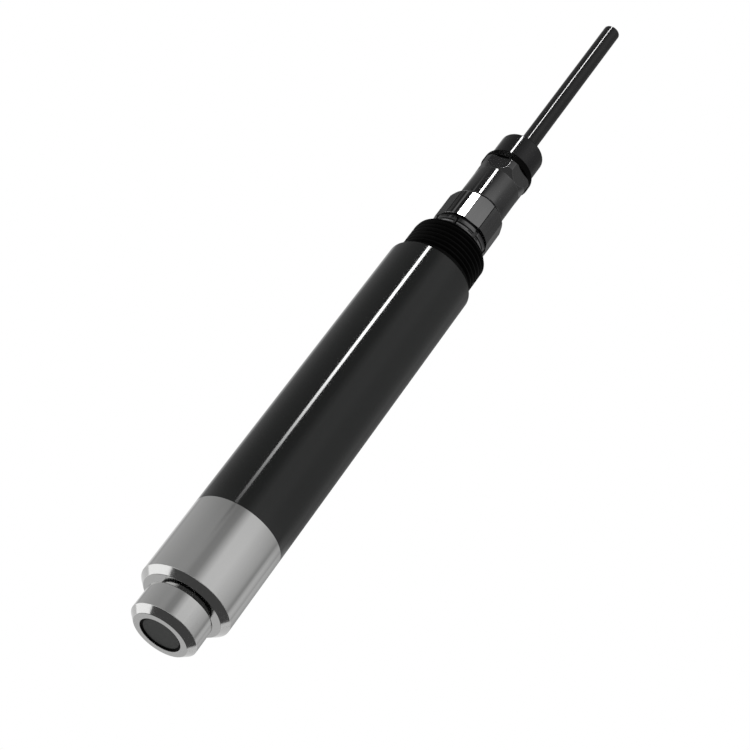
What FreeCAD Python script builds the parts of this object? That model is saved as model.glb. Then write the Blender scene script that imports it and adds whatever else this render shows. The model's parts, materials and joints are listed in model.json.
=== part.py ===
# Optical dissolved oxygen sensor: a stainless sensing head on a black tube, a threaded rear plug,
# a round screw connector and the first stretch of its cable.
# Millimetres. +Z runs from the nose to the cable, and the origin is the middle of the nose's face.
import FreeCAD, Part
import Sketcher
import os
import re

# Driving dimensions. Each can be changed by itself, and every piece is tied to them.
sizes = {
    # Gaps between pieces
    "fit_gap": "0.1",              # radial, round a piece that is pushed into another
    "thread_gap": "0.1",           # radial, between two threads that turn in each other
    "slide_gap": "0.2",            # radial, round a piece that slides out of another
    "end_gap": "0.2",              # along the axis, between ends that part when a thread turns
    # Sensing cap with its luminescent disc
    "cap_radius": "11",
    "cap_length": "10.3",
    "cap_chamfer": "2",
    "cap_edge": "0.3",
    "cap_gap": "0.9",              # neck left in view between the cap and the head
    "cap_floor": "1.2",
    "recess_radius": "6.8",
    "recess_depth": "0.5",
    "disc_thickness": "0.8",
    "disc_ledge": "1",
    # Stainless head
    "body_radius": "15",
    "head_length": "29.3",
    "head_chamfer": "2",
    "head_wall": "4.8",            # metal between the shoulder and the floor of the head's bore
    "neck_radius": "8.6",
    "spigot_length": "16.5",
    "spigot_wall": "2.8",
    "cap_ring_section": "1.3",
    "cap_ring_setback": "0.4",
    # Window and optics
    "glass_radius": "6.2",
    "glass_thickness": "1.5",
    "glass_seal": "0.5",
    "guide_radius": "4.9",
    "block_length": "12",
    "lamp_circle": "2.7",
    "lamp_radius": "1.5",
    "lamp_depth": "5",
    "lamp_body": "4.6",
    "lamp_round": "1.3",
    "lamp_flange": "0.4",          # how far the flange stands out of the lamp's body
    "flange_height": "1",
    "lead_radius": "0.25",
    "lead_spacing": "1.2",
    "filter_thickness": "1",
    "bead_radius": "0.9",
    "bead_circle": "7",
    "bead_length": "3.2",
    "bead_depth": "3.8",
    "sensor_board_thickness": "1.2",
    # Tube and the boards inside it
    "tube_length": "116.5",
    "tube_wall": "2.5",
    "tube_edge": "0.5",
    "seat_depth": "3",             # counterbore that takes the rear plug's collar
    "ring_section": "1.5",         # section of the O-rings on the two spigots
    "ring_groove_play": "0.2",
    "ring_setback": "3.5",
    "ring_spacing": "5.5",
    "board_side": "2",             # room beside the main board in the head's bore
    "board_thickness": "1.6",
    "board_end": "4",              # room between the main board and the rear plug
    "carrier_thickness": "5",
    "front_carrier_setback": "5",
    "rear_carrier_setback": "21",
    "header_width": "8",
    "header_height": "2.4",
    "header_length": "6",
    "processor_side": "9",
    "processor_height": "1.4",
    "processor_place": "42",
    "amplifier_width": "5",
    "amplifier_length": "4",
    "amplifier_height": "1.5",
    "amplifier_place": "26",
    "amplifier_step": "7",
    "driver_width": "5",
    "driver_length": "6.2",
    "driver_height": "1.5",
    "driver_setback": "12",
    "converter_width": "9",
    "converter_length": "13",
    "converter_height": "6.5",
    "converter_setback": "45",
    "capacitor_radius": "2.5",
    "capacitor_height": "5.5",
    "capacitor_place": "38",
    "capacitor_step": "7",
    "socket_width": "8",
    "socket_depth": "7",
    "socket_height": "7",
    # Threaded rear plug
    "plug_spigot": "17",
    "plug_wall": "3",
    "collar_step": "1.8",           # from the tube's outside down to the thread's crest
    "collar_length": "14.4",
    "collar_edge": "0.8",
    "relief_depth": "0.3",         # of the plain groove between the tube and the thread
    "relief_length": "0.5",
    "pocket_depth": "7",
    # Receptacle that is clamped in the rear plug
    "barrel_radius": "7.5",
    "barrel_wall": "1.5",
    "barrel_reach": "7.2",
    "barrel_flange": "3",
    "gasket_thickness": "1.2",
    "gasket_width": "1.8",
    "lock_radius": "10.2",
    "lock_length": "5.4",
    "lock_edge": "0.4",
    "lock_slot_width": "1.2",
    "lock_slot_depth": "0.9",
    "mating_depth": "4.5",
    "contact_circle": "2.3",
    "pin_radius": "0.5",
    "pin_reach": "3.7",
    "cup_length": "5",
    "wire_radius": "0.45",
    # Cable plug
    "nut_corner_radius": "10.4",
    "nut_length": "13.9",
    "nut_chamfer": "1",
    "nut_lip": "2.8",
    "nose_wall": "1.1",            # wall of the plug shell round the insert's nose
    "face_seal": "0.7",
    "nose_seat": "1.1",
    "insert_step": "0.9",
    "clip_thickness": "0.9",
    "clip_depth": "0.7",
    "clip_height": "0.5",
    "tail_reach": "5.9",
    "socket_radius": "0.85",
    "socket_bore": "0.6",
    "socket_bore_depth": "5",
    "socket_cup": "2",
    "strip_length": "4",
    "shell_wall": "3.85",
    "sleeve_radius": "8.45",
    "sleeve_round": "13",
    "sleeve_edge": "0.25",
    "hex_corner_radius": "9.3",
    "hex_rise": "0.05",            # how far the wrench flats stand outside the round stretch
    "hex_ramp": "2.5",
    "hex_length": "3.6",
    "boss_radius": "6.8",
    "boss_length": "8.4",
    "boss_wall": "1.3",
    "gland_room": "0.8",
    "joint_ring_radius": "9.05",
    "joint_ring_width": "3.1",
    "joint_ring_round": "0.7",
    "grommet_length": "7.6",
    "clamp_radius": "8",
    "clamp_length": "10.1",
    "clamp_round": "0.9",
    "washer_thickness": "1.2",
    "cable_hole_gap": "0.3",
    # Cable
    "cable_radius": "3",
    "cable_length": "70.8",
    "cable_end_round": "0.4",
}

# Places worked out from the sizes: first the stations along the axis, then shared radii.
places = {
    "disc_rear": "recess_depth + disc_thickness",
    "cap_seat": "disc_rear + cap_floor",
    "neck_front": "cap_seat + end_gap",
    "glass_rear": "neck_front + glass_thickness",
    "glass_seat": "glass_rear + glass_seal",
    "cap_ring_rear": "cap_length - cap_ring_setback",
    "cap_ring_front": "cap_ring_rear - cap_ring_section - ring_groove_play",
    "head_front": "cap_length + cap_gap",
    "head_floor": "head_front + head_wall",
    "lamp_seat": "head_floor + lamp_depth",
    "block_rear": "head_floor + block_length",
    "sensor_board_rear": "block_rear + sensor_board_thickness",
    "board_front": "sensor_board_rear + end_gap",
    "head_rear": "head_front + head_length",
    "spigot_rear": "head_rear + spigot_length",
    "tube_rear": "head_rear + tube_length",
    "plug_seat": "tube_rear - seat_depth",
    "plug_front": "tube_rear - plug_spigot",
    "thread_front": "tube_rear + relief_length",
    "board_rear": "plug_front - board_end",
    "socket_rear": "board_rear + socket_height",
    "front_carrier_front": "spigot_rear - front_carrier_setback - carrier_thickness",
    "rear_carrier_front": "board_rear - rear_carrier_setback",
    "pocket_floor": "tube_rear + pocket_depth",
    "barrel_front": "pocket_floor - barrel_flange",
    "pin_front": "barrel_front - cup_length",
    "collar_rear": "tube_rear + collar_length",
    "gasket_front": "collar_rear - gasket_thickness",
    "lock_rear": "collar_rear + lock_length",
    "barrel_rear": "lock_rear + barrel_reach",
    "insert_face": "barrel_rear - mating_depth",
    "nose_front": "insert_face + end_gap",
    "nut_front": "lock_rear + end_gap",
    "nut_rear": "nut_front + nut_length",
    "nut_seat": "nut_rear - nut_lip",
    "seal_front": "barrel_rear + end_gap",
    "shell_front": "seal_front + face_seal",
    "nose_rear": "shell_front + nose_seat",
    "clip_rear": "nut_seat - end_gap",
    "clip_front": "clip_rear - clip_thickness",
    "sleeve_front": "nut_rear + end_gap",
    "tail_rear": "sleeve_front + tail_reach",
    "cup_rear": "tail_rear + socket_cup",
    "jacket_front": "cup_rear + strip_length",
    "gland_front": "jacket_front + gland_room",
    "ramp_front": "sleeve_front + sleeve_round",
    "ramp_rear": "ramp_front + hex_ramp",
    "sleeve_rear": "ramp_rear + hex_length",
    "ring_rear": "sleeve_rear + joint_ring_width",
    "boss_rear": "sleeve_rear + boss_length",
    "grommet_rear": "gland_front + grommet_length",
    "clamp_front": "ring_rear + end_gap",
    "clamp_rear": "clamp_front + clamp_length",
    "washer_front": "boss_rear + end_gap",
    "washer_rear": "washer_front + washer_thickness",
    "clamp_floor": "washer_rear + end_gap",
    "disc_hole_radius": "recess_radius - disc_ledge",
    "tube_bore": "body_radius - tube_wall",
    "spigot_radius": "tube_bore - fit_gap",
    "head_bore": "spigot_radius - spigot_wall",
    "ring_floor": "tube_bore - ring_section - fit_gap / 2",
    "ring_groove": "ring_section + 2 * ring_groove_play",
    "cap_bore": "neck_radius + thread_gap",
    "cap_ring_floor": "cap_bore - cap_ring_section - fit_gap / 2",
    "board_width": "2 * (head_bore - board_side)",
    "pocket_radius": "spigot_radius - plug_wall",
    "collar_radius": "body_radius - collar_step",
    "relief_radius": "collar_radius - relief_depth",
    "barrel_bore": "barrel_radius - barrel_wall",
    "nose_radius": "barrel_bore - slide_gap",
    "shell_radius": "nose_radius + fit_gap + nose_wall",
    "tail_radius": "nose_radius - insert_step",
    "gland_radius": "boss_radius - boss_wall",
    "cable_hole": "cable_radius + cable_hole_gap",
}

# Counts of what repeats, and angles about the axis in degrees
CONTACTS = 5
LOCK_SLOTS = 8
NUT_SIDES = 10
NUT_TURN = 2                       # a flat of the nut faces -Y, turned by this much
HEX_SIDES = 6
HEX_TURN = 30                      # a corner of the hexagon faces -Y
SPIGOT_RINGS = 2
AMPLIFIERS = 2
CAPACITORS = 2
BEAD_ANGLE = 60
LAMP_ANGLES = {"excitation_led": 180, "reference_led": 300, "photodiode": 60}
CONTACT_ANGLES = [90 + number * 360 / CONTACTS for number in range(CONTACTS)]

doc = FreeCAD.newDocument("dissolved_oxygen_sensor")
sheet = doc.addObject("Spreadsheet::Sheet", "Sizes")
for row, (alias, value) in enumerate(sizes.items(), start=1):
    sheet.set("A%d" % row, alias.replace("_", " "))
    sheet.set("B%d" % row, value)
    sheet.setAlias("B%d" % row, alias)
doc.recompute()

word = re.compile("[a-z][a-z_]*")


def tied(text):
    """Writes a sum of sizes and places as an expression on the sheet's cells."""
    def swap(found):
        name = found.group(0)
        if name in places:
            return "(" + tied(places[name]) + ")"
        if name in sizes:
            return "Sizes." + name
        return name
    return word.sub(swap, text)


def value_of(text):
    """The present value of a sum of sizes and places."""
    return float(sheet.evalExpression(tied(text)))


def place(piece, x="0", y="0", z="0"):
    """Ties a piece's Placement to the sizes."""
    for axis, text in zip("xyz", (x, y, z)):
        if text != "0":
            piece.setExpression("Placement.Base." + axis, tied(text))


def plane(body, role):
    """The origin plane of a body that has this role."""
    return next(face for face in body.Origin.OriginFeatures if face.Role == role)


def turned(name, outline):
    """Turns a closed outline of (radius, height) corners about Z, as on a lathe."""
    body = doc.addObject("PartDesign::Body", name)
    sketch = body.newObject("Sketcher::SketchObject", name + "_outline")
    sketch.AttachmentSupport = [(plane(body, "XZ_Plane"), "")]
    sketch.MapMode = "FlatFace"
    corners = [FreeCAD.Vector(value_of(radius), value_of(height), 0) for radius, height in outline]
    count = len(corners)
    for number in range(count):
        sketch.addGeometry(Part.LineSegment(corners[number], corners[(number + 1) % count]), False)
    for number in range(count):
        sketch.addConstraint(Sketcher.Constraint("Coincident", number, 2, (number + 1) % count, 1))
    for number, (radius, height) in enumerate(outline):
        for kind, axis, text, size in (
            ("DistanceX", -2, radius, corners[number].x),
            ("DistanceY", -1, height, corners[number].y),
        ):
            if text == "0":
                sketch.addConstraint(Sketcher.Constraint("PointOnObject", number, 1, axis))
                continue
            index = sketch.addConstraint(Sketcher.Constraint(kind, -1, 1, number, 1, size))
            sketch.setExpression("Constraints[%d]" % index, tied(text))
    turn = body.newObject("PartDesign::Revolution", name + "_turn")
    turn.Profile = sketch
    turn.ReferenceAxis = (sketch, ["V_Axis"])
    turn.Angle = 360
    sketch.Visibility = False
    body.Tip = turn
    doc.recompute()
    return body


def rounded(body, rims, size):
    """Rounds the circular edges of a turned body at these (radius, height) rims."""
    wanted = [(value_of(radius), value_of(height)) for radius, height in rims]
    base = body.Tip
    names = []
    for number, edge in enumerate(base.Shape.Edges, start=1):
        if not isinstance(edge.Curve, Part.Circle):
            continue
        for radius, height in wanted:
            if abs(edge.Curve.Radius - radius) < 1e-4 and abs(edge.Curve.Center.z - height) < 1e-4:
                names.append("Edge%d" % number)
    if len(names) != len(rims):
        raise ValueError("no rim to round on " + body.Name)
    fillet = body.newObject("PartDesign::Fillet", body.Name + "_round")
    fillet.Base = (base, names)
    fillet.setExpression("Radius", tied(size))
    body.Tip = fillet
    doc.recompute()
    return body


def tube_piece(name, inner, outer, front, rear):
    """A plain ring or tube between two stations."""
    return turned(name, [(inner, front), (outer, front), (outer, rear), (inner, rear)])


def rod(name, radius, front, rear, x="0", y="0"):
    """A cylinder along Z between two stations."""
    piece = doc.addObject("Part::Cylinder", name)
    piece.setExpression("Radius", tied(radius))
    piece.setExpression("Height", tied("%s - (%s)" % (rear, front)))
    place(piece, x, y, front)
    return piece


def block(name, width, depth, height, x, y, z):
    """A box whose lowest corner is at x, y, z."""
    piece = doc.addObject("Part::Box", name)
    piece.setExpression("Length", tied(width))
    piece.setExpression("Width", tied(depth))
    piece.setExpression("Height", tied(height))
    place(piece, x, y, z)
    return piece


def cut(name, base, tools):
    """Takes one or more tools away from a piece."""
    piece = doc.addObject("Part::Cut", name)
    piece.Base = base
    piece.Tool = tools[0] if len(tools) == 1 else joined(name + "_tools", tools)
    return piece


def joined(name, pieces):
    """Makes one solid of pieces that overlap."""
    whole = doc.addObject("Part::MultiFuse", name)
    whole.Shapes = pieces
    return whole


def together(name, pieces):
    """Holds like pieces in one node as separate solids."""
    group = doc.addObject("Part::Compound", name)
    group.Links = pieces
    return group


def common(name, base, tool):
    """Keeps what two shapes share."""
    piece = doc.addObject("Part::Common", name)
    piece.Base = base
    piece.Tool = tool
    return piece


finished = []


def keep(label, piece):
    """Lists a finished piece under the name of its node."""
    piece.Label = label
    finished.append(piece)


def on_circle(circle, angle):
    """The x and y of a place on a circle about the axis."""
    return ("%s * cos(%g deg)" % (circle, angle), "%s * sin(%g deg)" % (circle, angle))


def contact_rods(name, radius, front, rear):
    """One rod for each contact of the connector."""
    rods = []
    for number, angle in enumerate(CONTACT_ANGLES, start=1):
        x, y = on_circle("contact_circle", angle)
        rods.append(rod("%s_%d" % (name, number), radius, front, rear, x, y))
    return rods


def sensing_cap():
    """The cup that screws onto the neck, and the disc bonded in its front recess."""
    keep("sensing_cap", turned("cap", [
        ("recess_radius", "0"),
        ("cap_radius - cap_chamfer", "0"),
        ("cap_radius", "cap_chamfer"),
        ("cap_radius", "cap_length - cap_edge"),
        ("cap_radius - cap_edge", "cap_length"),
        ("cap_bore", "cap_length"),
        ("cap_bore", "cap_seat"),
        ("disc_hole_radius", "cap_seat"),
        ("disc_hole_radius", "disc_rear"),
        ("recess_radius", "disc_rear"),
    ]))
    keep("luminescent_disc", turned("disc", [
        ("0", "recess_depth"),
        ("recess_radius - fit_gap / 2", "recess_depth"),
        ("recess_radius - fit_gap / 2", "disc_rear - fit_gap / 2"),
        ("0", "disc_rear - fit_gap / 2"),
    ]))


def sensor_head():
    """The stainless head: neck, shoulder, barrel and the spigot with its two ring grooves."""
    grooves = []
    for number in range(SPIGOT_RINGS):
        front = "head_rear + ring_setback + %d * ring_spacing" % number
        rear = front + " + ring_groove"
        grooves += [("spigot_radius", front), ("ring_floor", front)]
        grooves += [("ring_floor", rear), ("spigot_radius", rear)]
    shell = turned("head", [
        ("guide_radius + fit_gap", "glass_seat"),
        ("glass_radius + fit_gap", "glass_seat"),
        ("glass_radius + fit_gap", "neck_front"),
        ("neck_radius", "neck_front"),
        ("neck_radius", "cap_ring_front"),
        ("cap_ring_floor", "cap_ring_front"),
        ("cap_ring_floor", "cap_ring_rear"),
        ("neck_radius", "cap_ring_rear"),
        ("neck_radius", "head_front"),
        ("body_radius - head_chamfer", "head_front"),
        ("body_radius", "head_front + head_chamfer"),
        ("body_radius", "head_rear"),
        ("spigot_radius", "head_rear"),
        *grooves,
        ("spigot_radius", "spigot_rear"),
        ("head_bore", "spigot_rear"),
        ("head_bore", "head_floor"),
        ("guide_radius + fit_gap", "head_floor"),
    ])
    x, y = on_circle("bead_circle", BEAD_ANGLE)
    hole = rod(
        "bead_hole", "bead_radius + fit_gap", "head_floor - bead_depth", "head_floor + end_gap", x, y)
    keep("sensor_head", cut("head_bored", shell, [hole]))


def o_ring(label, bore, section, groove_middle):
    """A ring of round section that fills its groove up to the bore it seals."""
    ring = doc.addObject("Part::Torus", label + "_torus")
    ring.setExpression("Radius1", tied("%s - %s / 2 - fit_gap / 4" % (bore, section)))
    ring.setExpression("Radius2", tied("%s / 2 - fit_gap / 4" % section))
    place(ring, z=groove_middle)
    keep(label, ring)


def o_rings():
    """One ring on the neck, two on the head's spigot and two on the rear plug's spigot."""
    o_ring("cap_o_ring", "cap_bore", "cap_ring_section", "(cap_ring_front + cap_ring_rear) / 2")
    for number in range(SPIGOT_RINGS):
        step = "ring_setback + %d * ring_spacing + ring_groove / 2" % number
        o_ring("head_o_ring_%d" % (number + 1), "tube_bore", "ring_section", "head_rear + " + step)
        o_ring("plug_o_ring_%d" % (number + 1), "tube_bore", "ring_section", "plug_seat - (%s)" % step)


def window():
    """The sapphire window in the neck, its seal, and the light guide behind it."""
    keep("optical_window", rod("glass", "glass_radius", "neck_front", "glass_rear"))
    keep("window_seal", tube_piece(
        "glass_ring", "guide_radius + fit_gap", "glass_radius", "glass_rear", "glass_seat"))
    keep("light_guide", rod("guide", "guide_radius", "glass_rear", "head_floor"))


def lamp(label, front):
    """A round lamp or detector with a lens, a flange and two leads to the sensor board."""
    x, y = on_circle("lamp_circle", LAMP_ANGLES[label])
    body = turned(label + "_body", [
        ("0", front),
        ("lamp_radius", front),
        ("lamp_radius", "lamp_seat"),
        ("lamp_radius + lamp_flange", "lamp_seat"),
        ("lamp_radius + lamp_flange", "lamp_seat + flange_height"),
        ("0", "lamp_seat + flange_height"),
    ])
    if label != "photodiode":
        rounded(body, [("lamp_radius", front)], "lamp_round")
    place(body, x, y)
    pieces = [body]
    for number, side in enumerate("+-", start=1):
        pieces.append(rod(
            "%s_lead_%d" % (label, number), "lead_radius", "lamp_seat + flange_height / 2",
            "block_rear", "%s %s lead_spacing / 2" % (x, side), y))
    keep(label, joined(label + "_whole", pieces))


def optics():
    """The block that holds two lamps, a detector behind its filter, and the temperature bead."""
    bores = []
    for label, angle in LAMP_ANGLES.items():
        x, y = on_circle("lamp_circle", angle)
        bores.append(rod(label + "_bore", "lamp_radius + fit_gap", "head_floor", "lamp_seat", x, y))
        bores.append(rod(
            label + "_well", "lamp_radius + lamp_flange + fit_gap", "lamp_seat", "block_rear", x, y))
    x, y = on_circle("bead_circle", BEAD_ANGLE)
    bores.append(rod("lead_bore", "bead_radius + fit_gap", "head_floor", "block_rear", x, y))
    solid = rod("block_solid", "head_bore - fit_gap", "head_floor", "block_rear")
    keep("optics_block", cut("block_bored", solid, bores))
    lamp("excitation_led", "lamp_seat - lamp_body")
    lamp("reference_led", "lamp_seat - lamp_body")
    lamp("photodiode", "head_floor + fit_gap + filter_thickness")
    x, y = on_circle("lamp_circle", LAMP_ANGLES["photodiode"])
    keep("long_pass_filter", rod(
        "filter", "lamp_radius", "head_floor + fit_gap",
        "head_floor + fit_gap + filter_thickness", x, y))
    keep("sensor_board", rod("round_board", "head_bore - fit_gap", "block_rear", "sensor_board_rear"))


def thermistor():
    """A bead in a blind hole behind the shoulder, with two leads to the sensor board."""
    x, y = on_circle("bead_circle", BEAD_ANGLE)
    bead_front = "head_floor - bead_depth + fit_gap"
    bead_rear = bead_front + " + bead_length"
    pieces = [rod("bead", "bead_radius", bead_front, bead_rear, x, y)]
    for number, side in enumerate("+-", start=1):
        pieces.append(rod(
            "bead_lead_%d" % number, "lead_radius", bead_rear + " - bead_length / 2",
            "block_rear", "%s %s bead_radius / 2" % (x, side), y))
    keep("thermistor", joined("bead_whole", pieces))


def tube():
    """The black tube between the head and the rear plug."""
    keep("body_tube", turned("tube", [
        ("tube_bore", "head_rear"),
        ("body_radius", "head_rear"),
        ("body_radius", "tube_rear - tube_edge"),
        ("body_radius - tube_edge", "tube_rear"),
        ("collar_radius + fit_gap", "tube_rear"),
        ("collar_radius + fit_gap", "plug_seat"),
        ("tube_bore", "plug_seat"),
    ]))


def carrier(label, radius, front):
    """A disc with a slot that holds the main board in a bore."""
    solid = rod(label + "_disc", radius, front, front + " + carrier_thickness")
    slot = block(
        label + "_slot", "board_width + 2 * fit_gap", "board_thickness + 2 * fit_gap",
        "carrier_thickness + 2 * end_gap", "-board_width / 2 - fit_gap",
        "-board_thickness / 2 - fit_gap", front + " - end_gap")
    keep(label, cut(label + "_slotted", solid, [slot]))


def chip(label, width, length, height, front, side=1):
    """A chip that lies on a face of the main board, centred across it."""
    y = "board_thickness / 2" if side > 0 else "-board_thickness / 2 - " + height
    return block(label + "_body", width, height, length, "-%s / 2" % width, y, front)


def boards():
    """The main board, what stands on it, and the two discs that carry it."""
    keep("main_board", block(
        "board", "board_width", "board_thickness", "board_rear - board_front",
        "-board_width / 2", "-board_thickness / 2", "board_front"))
    carrier("front_carrier", "head_bore - fit_gap", "front_carrier_front")
    carrier("rear_carrier", "spigot_radius", "rear_carrier_front")
    keep("link_header", block(
        "header", "header_width", "header_height", "header_length",
        "-header_width / 2", "board_thickness / 2", "sensor_board_rear"))
    keep("processor_chip", chip(
        "processor", "processor_side", "processor_side", "processor_height",
        "board_front + processor_place"))
    amplifiers = []
    for number in range(AMPLIFIERS):
        front = "board_front + amplifier_place + %d * amplifier_step" % number
        amplifiers.append(chip(
            "amplifier_%d" % (number + 1), "amplifier_width", "amplifier_length",
            "amplifier_height", front))
    keep("amplifier_chips", together("amplifiers", amplifiers))
    keep("bus_driver_chip", chip(
        "driver", "driver_width", "driver_length", "driver_height", "board_rear - driver_setback"))
    keep("power_converter", chip(
        "converter", "converter_width", "converter_length", "converter_height",
        "board_rear - converter_setback", side=-1))
    capacitors = []
    for number in range(CAPACITORS):
        can = doc.addObject("Part::Cylinder", "capacitor_%d" % (number + 1))
        can.setExpression("Radius", tied("capacitor_radius"))
        can.setExpression("Height", tied("capacitor_height"))
        can.Placement.Rotation = FreeCAD.Rotation(FreeCAD.Vector(1, 0, 0), 90)
        place(can, y="-board_thickness / 2",
              z="board_front + capacitor_place + %d * capacitor_step" % number)
        capacitors.append(can)
    keep("capacitors", together("capacitor_cans", capacitors))
    keep("wire_socket", block(
        "socket", "socket_width", "socket_depth", "socket_height",
        "-socket_width / 2", "-socket_depth / 2", "board_rear"))


def rear_plug():
    """The plug that closes the tube and carries the process thread, here a plain collar."""
    grooves = []
    for number in reversed(range(SPIGOT_RINGS)):
        rear = "plug_seat - ring_setback - %d * ring_spacing" % number
        front = rear + " - ring_groove"
        grooves += [("spigot_radius", front), ("ring_floor", front)]
        grooves += [("ring_floor", rear), ("spigot_radius", rear)]
    keep("rear_plug", turned("plug", [
        ("pocket_radius", "plug_front"),
        ("spigot_radius", "plug_front"),
        *grooves,
        ("spigot_radius", "plug_seat"),
        ("relief_radius", "plug_seat"),
        ("relief_radius", "thread_front"),
        ("collar_radius", "thread_front"),
        ("collar_radius", "collar_rear - collar_edge"),
        ("collar_radius - collar_edge", "collar_rear"),
        ("barrel_radius + fit_gap + gasket_width", "collar_rear"),
        ("barrel_radius + fit_gap + gasket_width", "gasket_front"),
        ("barrel_radius + fit_gap", "gasket_front"),
        ("barrel_radius + fit_gap", "pocket_floor"),
        ("pocket_radius", "pocket_floor"),
    ]))


def receptacle():
    """The fixed half of the connector, clamped in the rear plug by a slotted lock ring."""
    keep("receptacle_shell", turned("barrel", [
        ("barrel_bore", "barrel_front"),
        ("pocket_radius - fit_gap", "barrel_front"),
        ("pocket_radius - fit_gap", "pocket_floor"),
        ("barrel_radius", "pocket_floor"),
        ("barrel_radius", "barrel_rear"),
        ("barrel_bore", "barrel_rear"),
    ]))
    keep("receptacle_gasket", tube_piece(
        "gasket", "barrel_radius + fit_gap", "barrel_radius + gasket_width",
        "gasket_front", "collar_rear"))
    ring = turned("lock", [
        ("barrel_radius + fit_gap", "collar_rear"),
        ("lock_radius", "collar_rear"),
        ("lock_radius", "lock_rear - lock_edge"),
        ("lock_radius - lock_edge", "lock_rear"),
        ("barrel_radius + fit_gap", "lock_rear"),
    ])
    slots = []
    for number in range(LOCK_SLOTS):
        angle = 360 / LOCK_SLOTS * (number + 0.5)
        slot = block(
            "lock_slot_%d" % (number + 1), "lock_slot_depth + end_gap", "lock_slot_width",
            "lock_length + 2 * end_gap",
            "(lock_radius - lock_slot_depth) * cos(%g deg) + lock_slot_width / 2 * sin(%g deg)"
            % (angle, angle),
            "(lock_radius - lock_slot_depth) * sin(%g deg) - lock_slot_width / 2 * cos(%g deg)"
            % (angle, angle),
            "collar_rear - end_gap")
        slot.Placement.Rotation = FreeCAD.Rotation(FreeCAD.Vector(0, 0, 1), angle)
        slots.append(slot)
    keep("lock_ring", cut("lock_slotted", ring, slots))
    insulator = rod("insulator_solid", "barrel_bore - fit_gap", "barrel_front", "insert_face")
    holes = contact_rods("pin_hole", "pin_radius + fit_gap / 2", "barrel_front", "insert_face")
    keep("receptacle_insert", cut("insulator_bored", insulator, holes))
    keep("contact_pins", together(
        "pins", contact_rods("pin", "pin_radius", "pin_front", "insert_face + pin_reach")))
    keep("board_wires", together(
        "wires", contact_rods("wire", "wire_radius", "socket_rear", "pin_front")))


def coupling_nut():
    """The ten-sided nut that pulls the cable plug onto the receptacle."""
    bars = doc.addObject("Part::Prism", "nut_bar")
    bars.Polygon = NUT_SIDES
    bars.setExpression("Circumradius", tied("nut_corner_radius"))
    bars.setExpression("Height", tied("nut_length"))
    bars.Placement.Rotation = FreeCAD.Rotation(FreeCAD.Vector(0, 0, 1), NUT_TURN)
    place(bars, z="nut_front")
    envelope = turned("nut_envelope", [
        ("barrel_radius + thread_gap", "nut_front"),
        ("nut_corner_radius - nut_chamfer / 2", "nut_front"),
        ("nut_corner_radius", "nut_front + nut_chamfer / 2"),
        ("nut_corner_radius", "nut_rear - nut_chamfer"),
        ("nut_corner_radius - 2 * nut_chamfer", "nut_rear"),
        ("shell_radius + thread_gap", "nut_rear"),
        ("shell_radius + thread_gap", "nut_seat"),
        ("barrel_radius + thread_gap", "nut_seat"),
    ])
    keep("coupling_nut", common("nut_shaped", bars, envelope))


def cable_plug():
    """The moving half of the connector: shell with wrench flats, insert, sockets and seals."""
    shell = turned("shell", [
        ("nose_radius + fit_gap", "shell_front"),
        ("shell_radius", "shell_front"),
        ("shell_radius", "clip_front - fit_gap"),
        ("shell_radius - clip_depth", "clip_front - fit_gap"),
        ("shell_radius - clip_depth", "clip_rear + fit_gap"),
        ("shell_radius", "clip_rear + fit_gap"),
        ("shell_radius", "sleeve_front"),
        ("sleeve_radius - sleeve_edge", "sleeve_front"),
        ("sleeve_radius", "sleeve_front + sleeve_edge"),
        ("sleeve_radius", "ramp_front"),
        ("hex_corner_radius", "ramp_rear"),
        ("hex_corner_radius", "sleeve_rear - sleeve_edge"),
        ("hex_corner_radius - sleeve_edge", "sleeve_rear"),
        ("boss_radius", "sleeve_rear"),
        ("boss_radius", "boss_rear"),
        ("gland_radius", "boss_rear"),
        ("gland_radius", "gland_front"),
        ("sleeve_radius - shell_wall", "gland_front"),
        ("sleeve_radius - shell_wall", "tail_rear + end_gap"),
        ("tail_radius + fit_gap", "tail_rear + end_gap"),
        ("tail_radius + fit_gap", "nose_rear"),
        ("nose_radius + fit_gap", "nose_rear"),
    ])
    hexagon = doc.addObject("Part::Prism", "hexagon")
    hexagon.Polygon = HEX_SIDES
    hexagon.setExpression("Circumradius", tied(
        "(sleeve_radius + hex_rise) / cos(%g deg)" % (180 / HEX_SIDES)))
    hexagon.setExpression("Height", tied("boss_rear - shell_front + 2 * end_gap"))
    hexagon.Placement.Rotation = FreeCAD.Rotation(FreeCAD.Vector(0, 0, 1), HEX_TURN)
    place(hexagon, z="shell_front - end_gap")
    keep("plug_shell", common("shell_flatted", shell, hexagon))
    insert = turned("insert", [
        ("0", "nose_front"),
        ("nose_radius", "nose_front"),
        ("nose_radius", "nose_rear"),
        ("tail_radius", "nose_rear"),
        ("tail_radius", "tail_rear"),
        ("0", "tail_rear"),
    ])
    holes = contact_rods("socket_hole", "socket_radius + fit_gap / 2", "nose_front", "tail_rear")
    keep("plug_insert", cut("insert_bored", insert, holes))
    sockets = []
    outers = contact_rods("socket_outer", "socket_radius", "nose_front + fit_gap", "cup_rear")
    bores = contact_rods(
        "socket_bore_rod", "socket_bore", "nose_front + fit_gap",
        "nose_front + fit_gap + socket_bore_depth")
    for number, (outer, bore) in enumerate(zip(outers, bores), start=1):
        sockets.append(cut("socket_%d" % number, outer, [bore]))
    keep("socket_contacts", together("sockets", sockets))
    keep("plug_face_seal", tube_piece(
        "face_ring", "nose_radius + fit_gap / 2", "shell_radius", "seal_front", "shell_front"))
    keep("nut_retaining_ring", tube_piece(
        "clip", "shell_radius - clip_depth", "shell_radius + clip_height", "clip_front", "clip_rear"))
    keep("cable_cores", together(
        "cores", contact_rods("core", "wire_radius", "cup_rear", "jacket_front")))


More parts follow.
